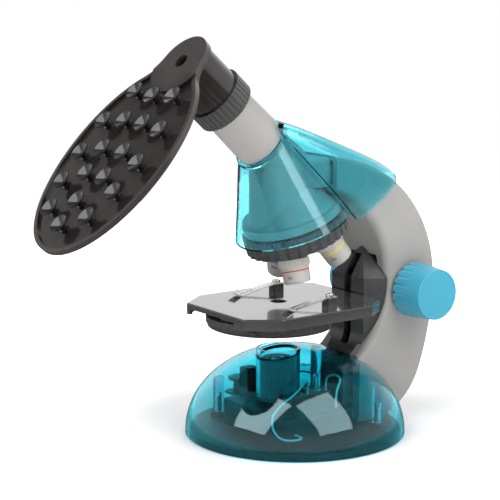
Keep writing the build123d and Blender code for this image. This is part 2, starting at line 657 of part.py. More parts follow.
KNOB_X0 = 23.6
KNOB_ENDS = {1: 44.6, -1: 38.6}      # the left knob is the shorter one
SHAFT_IN_KNOB = 3.6               # the shaft ends this far short of a knob's face
with BuildPart() as focus_shaft:
    with BuildSketch(Plane(origin=(SHAFT_IN_KNOB - KNOB_ENDS[-1], SHAFT_Y, SHAFT_Z), z_dir=(1, 0, 0))):
        Circle(SHAFT_R)
    extrude(amount=KNOB_ENDS[1] + KNOB_ENDS[-1] - 2 * SHAFT_IN_KNOB)
    chamfer(focus_shaft.edges(), 0.4)
publish(focus_shaft, "focus_shaft")

with BuildPart() as shaft_bushes:
    for side in (1, -1):
        with BuildSketch(Plane(origin=(side * (ARM_HALF_W - 2.6), SHAFT_Y, SHAFT_Z), z_dir=(side, 0, 0))):
            Circle(BUSH_R - 0.01)
            Circle(SHAFT_R + 0.06, mode=Mode.SUBTRACT)
        extrude(amount=2.6)
        with BuildSketch(Plane(origin=(side * (ARM_HALF_W - 4), SHAFT_Y, SHAFT_Z), z_dir=(side, 0, 0))):
            Circle(BUSH_R + 1.4)
            Circle(SHAFT_R + 0.06, mode=Mode.SUBTRACT)
        extrude(amount=4 - ARM_WALL)
publish(shaft_bushes, "shaft_bushes")

with BuildPart() as friction_washers:
    for side in (1, -1):
        with BuildSketch(Plane(origin=(side * (ARM_HALF_W + 0.2), SHAFT_Y, SHAFT_Z), z_dir=(side, 0, 0))):
            Circle(5.6)
            Circle(SHAFT_R + 0.05, mode=Mode.SUBTRACT)
        extrude(amount=KNOB_X0 - ARM_HALF_W - 0.3)
publish(friction_washers, "friction_washers")

KNOB_R0, KNOB_R1 = 16.6, 15.0
FLUTES = 20


def focus_knob(side):
    """Tapered, fluted knob, hollow on the side of the arm, on the end of the shaft."""
    length = KNOB_ENDS[side] - KNOB_X0
    with BuildPart() as knob:
        with BuildSketch(Plane.XY):
            Circle(KNOB_R0)
        extrude(amount=length, taper=degrees(atan((KNOB_R0 - KNOB_R1) / length)))
        with BuildSketch(Plane.XY):
            with PolarLocations(KNOB_R0 + 0.55, FLUTES):
                Circle(1.45)
        extrude(amount=length, mode=Mode.SUBTRACT)
        fillet(knob.faces().sort_by(Axis.Z)[-1].edges(), 0.5)
        Cylinder(12.6, 11, align=(Align.CENTER, Align.CENTER, Align.MIN), mode=Mode.SUBTRACT)
        Cylinder(5.6, 11.2, align=(Align.CENTER, Align.CENTER, Align.MIN))
        Cylinder(SHAFT_R + 0.01, length - SHAFT_IN_KNOB, align=(Align.CENTER, Align.CENTER, Align.MIN),
                 mode=Mode.SUBTRACT)
    place = Plane(origin=(side * KNOB_X0, SHAFT_Y, SHAFT_Z), x_dir=(0, 1, 0), z_dir=(side, 0, 0))
    return place.location * knob.part


for side, name in ((1, "knob_right"), (-1, "knob_left")):
    with BuildPart() as knob_piece:
        add(focus_knob(side))
    publish(knob_piece, name)

# ================================================================ stage
DISC_C, DISC_R, DISC_Z, DISC_T = (0.0, -28.0), 29.5, 70.6, 3.4
SLAB_BOTTOM = STAGE_TOP - SLAB_T
HOUSING_SCREWS = ((-22, 6.5), (22, 6.5))


def stage_outline(inset):
    """Plan outline of the stage, its front corners cut off, drawn in the active sketch."""
    w = STAGE_HALF_W
    Polygon(
        (-28, STAGE_FRONT), (28, STAGE_FRONT), (w, -40), (w, 24), (31, STAGE_BACK),
        (-31, STAGE_BACK), (-w, 24), (-w, -40), align=None,
    )
    if inset:
        offset(amount=-inset, mode=Mode.REPLACE)


with BuildPart() as stage_plate:
    with BuildSketch(Plane.XY.offset(STAGE_TOP - SKIRT_H)):
        stage_outline(0)
    extrude(amount=SKIRT_H)
    fillet(stage_plate.edges().filter_by(Axis.Z), 1.5)
    fillet(stage_plate.faces().sort_by(Axis.Z)[-1].edges(), 0.7)
    with BuildSketch(Plane.XY.offset(STAGE_TOP - SKIRT_H)):
        stage_outline(SKIRT_T)
    extrude(amount=SKIRT_H - SLAB_T, mode=Mode.SUBTRACT)
    # notch in the front skirt for the diaphragm disc
    with Locations((-3, STAGE_FRONT, STAGE_TOP - SKIRT_H)):
        Box(44, 12, 2 * (SKIRT_H - SLAB_T - 0.6), mode=Mode.SUBTRACT)
    with Locations((0, AXIS_Y, STAGE_TOP)):
        Cylinder(HOLE_R, 10, mode=Mode.SUBTRACT)
    # boss for the pivot of the disc
    with BuildSketch(Plane.XY.offset(DISC_Z + DISC_T + 0.2)):
        with Locations(DISC_C):
            Circle(5)
    extrude(amount=SLAB_BOTTOM - DISC_Z - DISC_T - 0.2)
    with Locations((*DISC_C, SLAB_BOTTOM + 1)):
        Cylinder(1.31, 20, align=(Align.CENTER, Align.CENTER, Align.MAX), mode=Mode.SUBTRACT)
    for x, y in HOUSING_SCREWS:
        with Locations((x, y, SLAB_BOTTOM)):
            Cylinder(1.05, 1.4, align=(Align.CENTER, Align.CENTER, Align.MIN), mode=Mode.SUBTRACT)
    # holes for the screws of the clip posts
    with Locations((25.5, 5.2, STAGE_TOP), (-25.5, 5.2, STAGE_TOP)):
        Cylinder(1.2, 10, mode=Mode.SUBTRACT)
publish(stage_plate, "stage_plate")

HOUSING_C, HOUSING_R, HOUSING_Z = (0.0, -18.0), 37.0, 66.8
with BuildPart() as diaphragm_housing:
    with BuildSketch(Plane.XY.offset(HOUSING_Z)):
        with Locations(HOUSING_C):
            Circle(HOUSING_R)
    extrude(amount=SLAB_BOTTOM - HOUSING_Z)
    fillet(diaphragm_housing.faces().sort_by(Axis.Z)[0].edges(), 1.2)
    with BuildSketch(Plane.XY.offset(HOUSING_Z + 1.8)):
        with Locations(HOUSING_C):
            Circle(HOUSING_R - 1.8)
    extrude(amount=20, mode=Mode.SUBTRACT)
    # slit in the wall for the disc, opened out to a window where a finger turns it
    with BuildSketch(Plane.XY.offset(DISC_Z - 0.4)):
        with Locations(DISC_C):
            Circle(DISC_R + 0.7)
    extrude(amount=DISC_T + 0.8, mode=Mode.SUBTRACT)
    with BuildSketch(Plane.XY.offset(DISC_Z - 0.6)):
        with Locations((-16, STAGE_FRONT + 2)):
            Rectangle(36, 26)
    extrude(amount=20, mode=Mode.SUBTRACT)
    with Locations((0, AXIS_Y, HOUSING_Z)):
        Cylinder(9, 10, mode=Mode.SUBTRACT)
    # pillars for the two screws that hold the housing to the slab from below
    with Locations(*[(x, y, HOUSING_Z + 1) for x, y in HOUSING_SCREWS]):
        Cylinder(3.0, SLAB_BOTTOM - HOUSING_Z - 1, align=(Align.CENTER, Align.CENTER, Align.MIN))
    with Locations(*[(x, y, HOUSING_Z) for x, y in HOUSING_SCREWS]):
        Cylinder(2.4, 2.2, align=(Align.CENTER, Align.CENTER, Align.MIN), mode=Mode.SUBTRACT)
        Cylinder(1.15, 20, align=(Align.CENTER, Align.CENTER, Align.MIN), mode=Mode.SUBTRACT)
publish(diaphragm_housing, "diaphragm_housing")

with BuildPart() as housing_screws:
    for x, y in HOUSING_SCREWS:
        with Locations((x, y, HOUSING_Z + 0.8)):
            Cylinder(2.2, 1.3, align=(Align.CENTER, Align.CENTER, Align.MIN))
            Cylinder(1.0, 10.6, align=(Align.CENTER, Align.CENTER, Align.MIN))
            Box(3.0, 0.7, 1.2, mode=Mode.SUBTRACT)
            Box(0.7, 3.0, 1.2, mode=Mode.SUBTRACT)
publish(housing_screws, "housing_screws")

DISC_HOLES = (1.0, 2.0, 3.0, 4.0, 5.0, 6.0)
with BuildPart() as diaphragm_disc:
    with BuildSketch(Plane.XY.offset(DISC_Z)):
        with Locations(DISC_C):
            Circle(DISC_R)
            with PolarLocations(DISC_R + 0.5, 72):
                Circle(0.85, mode=Mode.SUBTRACT)
            Circle(2.06, mode=Mode.SUBTRACT)
        for k, hole_r in enumerate(DISC_HOLES):
            with Locations(*ring_points(AXIS_Y - DISC_C[1], (90 + 60 * k,), DISC_C)):
                Circle(hole_r, mode=Mode.SUBTRACT)
    extrude(amount=DISC_T)
publish(diaphragm_disc, "diaphragm_disc")

with BuildPart() as diaphragm_pivot:
    with Locations((*DISC_C, DISC_Z + DISC_T + 0.19)):
        Cylinder(2.0, DISC_T + 0.39, align=(Align.CENTER, Align.CENTER, Align.MAX))
        Cylinder(1.3, 3.6, align=(Align.CENTER, Align.CENTER, Align.MIN))
    with Locations((*DISC_C, DISC_Z - 0.2)):
        Cylinder(3.6, 1.2, align=(Align.CENTER, Align.CENTER, Align.MAX))
        Box(4.6, 0.8, 1.2, mode=Mode.SUBTRACT)
publish(diaphragm_pivot, "diaphragm_pivot")

CLIP_X, CLIP_Y = 25.5, 5.2
POST_H, POST_W = 4.4, 7.0
CLIP_T, CLIP_W = 0.6, 6.4
CLIP_Z = STAGE_TOP + POST_H + GAP
CLIP_HEAD_Z = CLIP_Z + CLIP_T + GAP
CLIP_LOW = STAGE_TOP + 0.35
CLIP_SPOTS = ((-CLIP_X, CLIP_Y), (CLIP_X, CLIP_Y))
with BuildPart() as clip_posts:
    with BuildSketch(Plane.XY.offset(STAGE_TOP)):
        with Locations(*CLIP_SPOTS):
            RectangleRounded(POST_W, POST_W, 1.2)
    extrude(amount=POST_H)
    fillet(clip_posts.faces().filter_by(Axis.Z).group_by(Axis.Z)[-1].edges(), 0.6)
    with Locations(*[(x, y, STAGE_TOP) for x, y in CLIP_SPOTS]):
        Cylinder(1.2, 20, mode=Mode.SUBTRACT)
publish(clip_posts, "clip_posts")

with BuildPart() as clip_screws:
    with Locations(*[(x, y, STAGE_TOP - 2) for x, y in CLIP_SPOTS]):
        Cylinder(1.18, CLIP_HEAD_Z - STAGE_TOP + 2, align=(Align.CENTER, Align.CENTER, Align.MIN))
    with Locations(*[(x, y, CLIP_HEAD_Z) for x, y in CLIP_SPOTS]):
        Cylinder(2.5, 1.5, align=(Align.CENTER, Align.CENTER, Align.MIN))
    fillet(clip_screws.faces().filter_by(Axis.Z).group_by(Axis.Z)[-1].edges(), 0.6)
    with Locations(*[(x, y, CLIP_HEAD_Z + 1.5) for x, y in CLIP_SPOTS]):
        Box(3.4, 0.7, 1.2, mode=Mode.SUBTRACT)
        Box(0.7, 3.4, 1.2, mode=Mode.SUBTRACT)
publish(clip_screws, "clip_screws")

for side, word in ((1, "right"), (-1, "left")):
    # spring strip: flat over the post, down to the stage, its tip turned up
    with BuildPart() as clip:
        with BuildSketch(Plane.YZ.offset(side * CLIP_X - CLIP_W / 2)):
            with BuildLine():
                Polyline((CLIP_Y + 3.2, CLIP_Z), (CLIP_Y - 4, CLIP_Z), (-18.5, CLIP_LOW + 0.6),
                         (-21.5, CLIP_LOW), (-23.5, CLIP_LOW + 0.2), (-28, CLIP_LOW + 2.1))
                offset(amount=CLIP_T, side=Side.RIGHT)
            make_face()
        extrude(amount=CLIP_W)
        with Locations((side * CLIP_X, CLIP_Y, CLIP_Z)):
            Cylinder(1.3, 5, mode=Mode.SUBTRACT)
        with BuildSketch(Plane.XY.offset(STAGE_TOP)):
            with Locations((side * CLIP_X, -17)):
                SlotOverall(9, 2.2, rotation=90)
        extrude(amount=8, mode=Mode.SUBTRACT)
    publish(clip, f"stage_clip_{word}")

# ================================================================ head
HEAD_R, HEAD_CAVITY_R = 17.2, 13.4
BASE_W0, BASE_W1 = 22.5, 27.6
with BuildPart() as head_body:
    with BuildSketch(Plane.XY.offset(118)):
        with Locations((0, AXIS_Y)):
            Circle(HEAD_R)
    extrude(amount=42)
    with Locations((0, AXIS_Y, 158)):
        Sphere(HEAD_R)
    with BuildSketch(tube_plane(0)):
        Circle(14.5)
    extrude(amount=SOCKET_T)
    with BuildSketch(turret_plane(8)):
        Circle(HEAD_R - 0.5)
    with BuildSketch(turret_plane(BASE_W0)):
        Circle(26.4)
    loft()
    with Locations((0, ARM_END_Y - 0.2, 150)):
        Box(80, 40, 80, align=(Align.CENTER, Align.MIN, Align.CENTER), mode=Mode.SUBTRACT)
    # shoulders that meet the arm, and the tongue that the two halves close on
    with Locations((0, (AXIS_Y + ARM_END_Y - 0.2) / 2, 155.3)):
        Box(31, ARM_END_Y - 0.2 - AXIS_Y, 17)
    fillet(head_body.edges().filter_by(Axis.Y).group_by(Axis.Z)[-1], 3.0)
    with Locations((0, ARM_END_Y + 5, 154.4)):
        Box(31, 14, 10.4)
    split(bisect_by=turret_plane(BASE_W0), keep=Keep.TOP)
    # room for the prism, the light path and the tube
    with Locations((0, AXIS_Y, 110)):
        Cylinder(HEAD_CAVITY_R, 53, align=(Align.CENTER, Align.CENTER, Align.MIN), mode=Mode.SUBTRACT)
        Box(17, 15.6, 59, align=(Align.CENTER, Align.CENTER, Align.MIN), mode=Mode.SUBTRACT)
    with BuildSketch(tube_plane(0)):
        Circle(9)
    extrude(amount=40, mode=Mode.SUBTRACT)
    with BuildSketch(tube_plane(9.5)):
        Circle(TUBE_R + 0.01)
    extrude(amount=40, mode=Mode.SUBTRACT)
publish(head_body, "head_body")

with BuildPart() as nosepiece_base:
    with BuildSketch(turret_plane(BASE_W1)):
        Circle(29.0)
    extrude(amount=BASE_W1 - BASE_W0 - 0.1)
    add(arm_envelope(0.3), mode=Mode.SUBTRACT)
    with Locations((0, AXIS_Y, 125)):
        Cylinder(6.5, 60, mode=Mode.SUBTRACT)
    with BuildSketch(turret_plane(BASE_W1)):
        Circle(1.95)
    extrude(amount=20, mode=Mode.SUBTRACT)
publish(nosepiece_base, "nosepiece_base")

with BuildPart() as eyepiece_tube:
    with BuildSketch(tube_plane(9.6)):
        Circle(TUBE_R)
    extrude(amount=SOCKET_T + 1 - 9.6)
    with BuildSketch(tube_plane(SOCKET_T + GAP)):
        Circle(TUBE_FOOT_R)
    with BuildSketch(tube_plane(TUBE_END_T)):
        Circle(TUBE_END_R)
    loft()
    with BuildSketch(tube_plane(9)):
        Circle(TUBE_BORE)
    extrude(amount=TUBE_END_T, mode=Mode.SUBTRACT)
publish(eyepiece_tube, "eyepiece_tube")

# the mirror face of the prism sends the vertical beam up the tube
PRISM_HALF = 8.0
with BuildPart() as prism:
    with BuildSketch(Plane.YZ):
        Polygon((AXIS_Y - 7.5, 153.5), (AXIS_Y + 7.5, 153.5), (AXIS_Y + 7.5, 159.5), (AXIS_Y - 1.0, 168.5),
                (AXIS_Y - 7.5, 162.5), align=None)
    extrude(amount=PRISM_HALF, both=True)
publish(prism, "prism")

with BuildPart() as prism_holder:
    with Locations((0, AXIS_Y, 148)):
        Cylinder(HEAD_CAVITY_R - 0.05, 5.4, align=(Align.CENTER, Align.CENTER, Align.MIN))
        Cylinder(6, 12, mode=Mode.SUBTRACT)
    for x in (-1, 1):
        with Locations((x * (PRISM_HALF + 1.3), AXIS_Y, 153.4)):
            Box(2.4, 13, 6, align=(Align.CENTER, Align.CENTER, Align.MIN))
publish(prism_holder, "prism_holder")

# ---------------------------------------------------------------- clear hood
RIM_W, RIM_R = 31.2, 34.8
HOOD_TOP_R = 16.9
HOOD_WALL = 1.8
SEAM, SEAM_RAKE = 154.4, 1.1084        # the hood is cut where SEAM_RAKE * y + z equals SEAM


def hood_cone(shrink, reach):
    """Clear cone from the nosepiece rim up to the tube collar, its ends pushed out by reach."""
    with BuildPart() as cone:
        with BuildSketch(turret_plane(RIM_W + reach)):
            Circle(RIM_R - shrink)
        with BuildSketch(tube_plane(COLLAR_T + reach)):
            Circle(HOOD_TOP_R - shrink)
        loft()
    return cone.part


def seam_plane(shift):
    return Plane(origin=(0, 0, SEAM + shift), x_dir=(1, 0, 0), z_dir=(0, SEAM_RAKE, 1))


cone_outer = hood_cone(0, 0)
cone_inner = hood_cone(HOOD_WALL, 0.6)
with BuildPart() as hood_front:
    add(cone_outer)
    add(cone_inner, mode=Mode.SUBTRACT)
    split(bisect_by=seam_plane(0), keep=Keep.BOTTOM)
    # thin upright rim round the tube
    with BuildSketch(tube_plane(COLLAR_T - 2)):
        Circle(HOOD_TOP_R)
    extrude(amount=3.6)
    with BuildSketch(tube_plane(COLLAR_T - 5)):
        Circle(TUBE_FOOT_R + 0.35)
    extrude(amount=9, mode=Mode.SUBTRACT)
publish(hood_front, "hood_front")


# sections of the cover across y: distance from the tube end, half width, height of the crown
COVER = ((-24.0, 16.6, 187.4), (0.0, 23.4, 178.8), (22.0, 27.0, 169.4), (42.0, 26.4, 161.0),
         (60.0, 24.8, 151.0))
CROWN_R = 9.0


def hood_cover(shrink, drop):
    """Clear cover behind the seam, over the end of the arm; its open underside is lowered by drop."""
    with BuildPart() as cover:
        for y, half, crown in COVER:
            with BuildSketch(Plane(origin=(0, y, 0), x_dir=(1, 0, 0), z_dir=(0, -1, 0))):
                with BuildLine():
                    low = 110 - drop
                    side, top, r = half - shrink, crown - 1.1 * shrink, CROWN_R - shrink
                    Polyline((-side, top - r), (-side, low), (side, low), (side, top - r))
                    RadiusArc((side, top - r), (side - r, top), -r)
                    Line((side - r, top), (r - side, top))
                    RadiusArc((r - side, top), (-side, top - r), -r)
                make_face()
        loft()
        # side view of the cover: sloping underside and the raked rear edge
        with BuildSketch(Plane.YZ):
            Polygon(
                (-24, 200), (57.0 + drop, 200), (56.4 + drop, 150.6), (54.0 + drop, 145.4 - drop),
                (45.6, 139.4 - drop), (31.6, 130.8 - drop), (20.0, 127.0 - drop), (10, 127.0 - drop),
                (-24, 150 - drop), align=None,
            )
        extrude(amount=40, both=True, mode=Mode.INTERSECT)
    return cover.part


with BuildPart() as hood_rear:
    add(hood_cover(0, 0))
    add(hood_cover(HOOD_WALL, 6), mode=Mode.SUBTRACT)
    split(bisect_by=seam_plane(0.3), keep=Keep.TOP)
    with BuildSketch(tube_plane(8)):
        Circle(HOOD_TOP_R + 0.25)
    extrude(amount=30, mode=Mode.SUBTRACT)
publish(hood_rear, "hood_rear")

# ---------------------------------------------------------------- revolving nosepiece
with BuildPart() as turret:
    with BuildSketch(turret_plane(TURRET_BOTTOM)):
        Circle(TURRET_R)
        with PolarLocations(TURRET_R + 0.9, 30):
            Circle(1.7, mode=Mode.SUBTRACT)
    extrude(amount=TURRET_BOTTOM - TURRET_TOP)
    # a tapered seat stands out round each objective thread
    for angle, length in OBJECTIVES.values():
        with BuildSketch(objective_plane(angle, TURRET_TOP + 6)):
            Circle(10.2)
        with BuildSketch(objective_plane(angle, SEAT)):
            Circle(7.6)
        loft()
    with BuildSketch(turret_plane(TURRET_BOTTOM + 1.2)):
        Circle(9)
    extrude(amount=4)
    split(bisect_by=turret_plane(TURRET_TOP), keep=Keep.BOTTOM)
    with BuildSketch(turret_plane(TURRET_TOP + 2.4)):
        Circle(26.5)
        Circle(6, mode=Mode.SUBTRACT)
    extrude(amount=8, mode=Mode.SUBTRACT)
    for angle, length in OBJECTIVES.values():
        with BuildSketch(objective_plane(angle, SEAT - 4)):
            Circle(6.02)
        extrude(amount=10, mode=Mode.SUBTRACT)
        with BuildSketch(objective_plane(angle, 20)):
            Circle(4.5)
        extrude(amount=30, mode=Mode.SUBTRACT)
    with BuildSketch(turret_plane(TURRET_BOTTOM + 10)):
        Circle(2.06)
    extrude(amount=40, mode=Mode.SUBTRACT)
    with BuildSketch(turret_plane(TURRET_BOTTOM + 10)):
        Circle(4.4)
    extrude(amount=9.9, mode=Mode.SUBTRACT)
publish(turret, "turret")

with BuildPart() as turret_screw:
    with BuildSketch(turret_plane(TURRET_BOTTOM + 0.2)):
        Circle(2.0)
    extrude(amount=TURRET_BOTTOM + 0.2 - BASE_W1 - 0.02)
    with BuildSketch(turret_plane(BASE_W1 + 0.02)):
        Circle(1.9)
    extrude(amount=5)
    with BuildSketch(turret_plane(TURRET_BOTTOM + 2.2)):
        Circle(3.9)
    extrude(amount=2.0)
    with BuildSketch(turret_plane(TURRET_BOTTOM + 2.2)):
        Rectangle(5, 0.9)
        Rectangle(0.9, 5)
    extrude(amount=1.0, mode=Mode.SUBTRACT)
publish(turret_screw, "turret_screw")

with BuildPart() as click_spring:
    # leaf under the nosepiece base, its end reaching down to the turret's inner step
    with BuildSketch(turret_plane(BASE_W1 + 0.5)):
        with Locations((0, 15)):
            Rectangle(6, 15)
        with Locations((0, 9.5)):
            Circle(1.1, mode=Mode.SUBTRACT)
    extrude(amount=0.5)
    with BuildSketch(turret_plane(BASE_W1 + 1.6)):
        with Locations((0, 19.5)):
            Rectangle(3, 3)
    extrude(amount=1.1)
publish(click_spring, "click_spring")

COLLAR_R, COLLAR_L, BODY_R = 9.2, 4.2, 8.2
for name, (angle, length) in OBJECTIVES.items():
    plane = objective_plane(angle, SEAT)
    with BuildPart() as objective:
        with BuildSketch(plane):
            Circle(COLLAR_R)
            with PolarLocations(COLLAR_R + 0.35, 30):
                Circle(0.75, mode=Mode.SUBTRACT)
        extrude(amount=COLLAR_L)
        with BuildSketch(objective_plane(angle, SEAT + COLLAR_L)):
            Circle(BODY_R)
        extrude(amount=length - COLLAR_L, taper=1.5)
        tip = objective.faces().sort_by(Axis(plane.origin, plane.z_dir))[-1]
        fillet(tip.edges(), 1.4)
        with BuildSketch(objective_plane(angle, SEAT - 3.8)):
            Circle(6.0)
        extrude(amount=4)
        with BuildSketch(objective_plane(angle, SEAT - 6)):
            Circle(3.6)
        extrude(amount=length + 3.5, mode=Mode.SUBTRACT)
        with BuildSketch(objective_plane(angle, SEAT - 6)):
            Circle(2.4)
        extrude(amount=length + 20, mode=Mode.SUBTRACT)
    publish(objective, f"objective_{name}")

with BuildPart() as objective_lenses:
    for angle, length in OBJECTIVES.values():
        with BuildSketch(objective_plane(angle, SEAT + length - 2.5)):
            Circle(3.58)
        extrude(amount=-2.2)
publish(objective_lenses, "objective_lenses")

# ================================================================ eyepiece and phone holder
with BuildPart() as eyepiece:
    with BuildSketch(tube_plane(RING_T0)):
        Circle(17.5)
        with PolarLocations(17.6, 36):
            Rectangle(0.8, 0.8, mode=Mode.SUBTRACT)
    extrude(amount=RING_T1 - RING_T0)
    with BuildSketch(tube_plane(RING_T0)):
        Circle(TUBE_END_R + 0.45)
    extrude(amount=TUBE_END_T - RING_T0 + 0.2, mode=Mode.SUBTRACT)
    with BuildSketch(tube_plane(26)):
        Circle(TUBE_BORE - 0.06)
    extrude(amount=RING_T0 - 26 + 8)
    with BuildSketch(tube_plane(RING_T1)):
        Circle(13.4)
    extrude(amount=20)
    with BuildSketch(tube_plane(26)):
        Circle(9.6)
    extrude(amount=54, mode=Mode.SUBTRACT)
    with BuildSketch(tube_plane(70)):
        Circle(6)
    extrude(amount=20, mode=Mode.SUBTRACT)
publish(eyepiece, "eyepiece")

with BuildPart() as eyepiece_lenses:
    for t0, thickness in ((30.0, 3.0), (76.5, 3.2)):
        with BuildSketch(tube_plane(t0)):
            Circle(9.58)
        extrude(amount=thickness)
        with BuildSketch(tube_plane(t0)):
            Circle(8.6)
        extrude(amount=-1.2, taper=60)
publish(eyepiece_lenses, "eyepiece_lenses")

HUB_R, LUG_R, NECK_R = 17.4, 21.5, 22.0     # round end, arc where the lug stops, hollow necks
RIM_H, RIM_WALL = 1.6, 2.6                  # raised edge of the plate
OVAL_V, OVAL_A, OVAL_B = -66.0, 47.2, 63.0
CUP_R, CUP_STEM_R = 5.8, 1.7
CUP_ROWS = (                # distance below the eyepiece, and how far each cup is from the middle
    (-26.0, (0.0,)), (-24.5, (18.5,)), (-44.0, (9.5,)), (-46.5, (28.0,)), (-63.5, (10.4,)),
    (-68.5, (28.8,)), (-80.5, (9.6,)), (-88.0, (26.4,)), (-97.5, (0.0,)), (-105.5, (19.2,)),
    (-113.5, (0.0,)),
)


def plate_shape(inset):
    """Oval with a round lug at the eyepiece, the necks between them hollow, as a flat sketch."""
    with BuildSketch() as shape:
        with Locations((0, OVAL_V)):
            Ellipse(OVAL_A - inset, OVAL_B - inset)
        Circle(HUB_R - inset)
        fillet(shape.vertices().filter_by(lambda v: abs(v.X) > 8 and v.Y > -20), NECK_R + inset)
    return shape.sketch


with BuildPart() as phone_plate:
    with BuildSketch(tube_plane(FIELD_T0)):
        add(plate_shape(0))
    extrude(amount=FIELD_T1 - FIELD_T0 + RIM_H)
    # recessed field for the cups, inside the raised rim and below the round lug
    with BuildSketch(tube_plane(FIELD_T1)):
        add(plate_shape(RIM_WALL))
    extrude(amount=10, mode=Mode.SUBTRACT)
    with BuildSketch(tube_plane(FIELD_T0)):
        add(plate_shape(0))
        Circle(LUG_R, mode=Mode.INTERSECT)
    extrude(amount=HUB_T - FIELD_T0)
    with BuildSketch(tube_plane(SLEEVE_T0)):
        Circle(16.0)
        Circle(13.75, mode=Mode.SUBTRACT)
    extrude(amount=FIELD_T0 - SLEEVE_T0)
    with BuildSketch(tube_plane(FIELD_T0 - 1)):
        Circle(4.2)
    extrude(amount=20, mode=Mode.SUBTRACT)
publish(phone_plate, "phone_plate")

CUP_H = CUP_RIM_T - FIELD_T1
with BuildPart() as cup:
    with BuildSketch(Plane.XZ):
        Polygon(
            (0, 0), (CUP_STEM_R + 0.9, 0), (CUP_STEM_R + 0.9, 0.7), (CUP_STEM_R, 1.1), (CUP_STEM_R, 2.0),
            (CUP_R, CUP_H - 0.5), (CUP_R, CUP_H), (CUP_R - 0.5, CUP_H), (0, 2.9), align=None,
        )
    revolve(axis=Axis.Z)

with BuildPart() as suction_cups:
    plane = tube_plane(FIELD_T1)
    spots = [(x * side, v) for v, offsets in CUP_ROWS for x in offsets for side in ((1, -1) if x else (1,))]
    for x, v in spots:
        add(plane.location * Location((x, v, 0)) * cup.part)
publish(suction_cups, "suction_cups")
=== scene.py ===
import bpy
from math import cos, radians, sin
from mathutils import Matrix, Vector


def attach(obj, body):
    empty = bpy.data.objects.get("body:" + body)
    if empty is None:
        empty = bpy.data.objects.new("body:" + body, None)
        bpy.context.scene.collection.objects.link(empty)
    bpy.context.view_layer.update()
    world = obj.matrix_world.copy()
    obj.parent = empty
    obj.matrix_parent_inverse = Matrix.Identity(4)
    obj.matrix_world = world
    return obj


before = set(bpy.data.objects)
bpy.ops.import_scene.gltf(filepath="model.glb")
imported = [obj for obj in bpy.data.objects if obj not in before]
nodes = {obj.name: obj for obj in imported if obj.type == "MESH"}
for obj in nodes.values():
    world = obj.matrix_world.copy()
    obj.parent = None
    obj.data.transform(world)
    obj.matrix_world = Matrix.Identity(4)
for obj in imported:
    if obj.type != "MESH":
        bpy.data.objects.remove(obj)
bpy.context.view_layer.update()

# A toy microscope, dressed and lit around its CAD nodes. Metres, +Z up, the user at -Y.
scene = bpy.context.scene

# ------------------------------------------------------------------ camera
CAMERA_AT = Vector((0.7794, -0.6006, 0.2895))
CAMERA_AIM = Vector((-0.01564, -0.02147, 0.10877))
camera_data = bpy.data.cameras.new("camera")
camera_data.lens = 123.5
camera_data.sensor_width = 36.0
camera = bpy.data.objects.new("camera", camera_data)
camera.location = CAMERA_AT
camera.rotation_euler = (CAMERA_AIM - CAMERA_AT).to_track_quat("-Z", "Y").to_euler()
scene.collection.objects.link(camera)
scene.camera = camera

# ------------------------------------------------------------------ where the objectives stand
APEX = Vector((0, -0.0124, 0.1534))    # the objectives' axes and the nosepiece's axis meet here
SEAT = 0.0485                          # from there to each objective's shoulder
TURRET_TILT = radians(19.5)
OBJECTIVE_TURN = {"objective_4x": 38.0, "objective_10x": 158.0, "objective_40x": -82.0}


def objective_axis(angle):
    """Direction that an objective points in, turned by angle degrees about the nosepiece's axis."""
    tilt, turn = TURRET_TILT, radians(angle)
    return Vector((
        sin(tilt) * sin(turn),
        sin(tilt) * cos(tilt) * (1 - cos(turn)),
        -cos(tilt) ** 2 - sin(tilt) ** 2 * cos(turn),
    ))


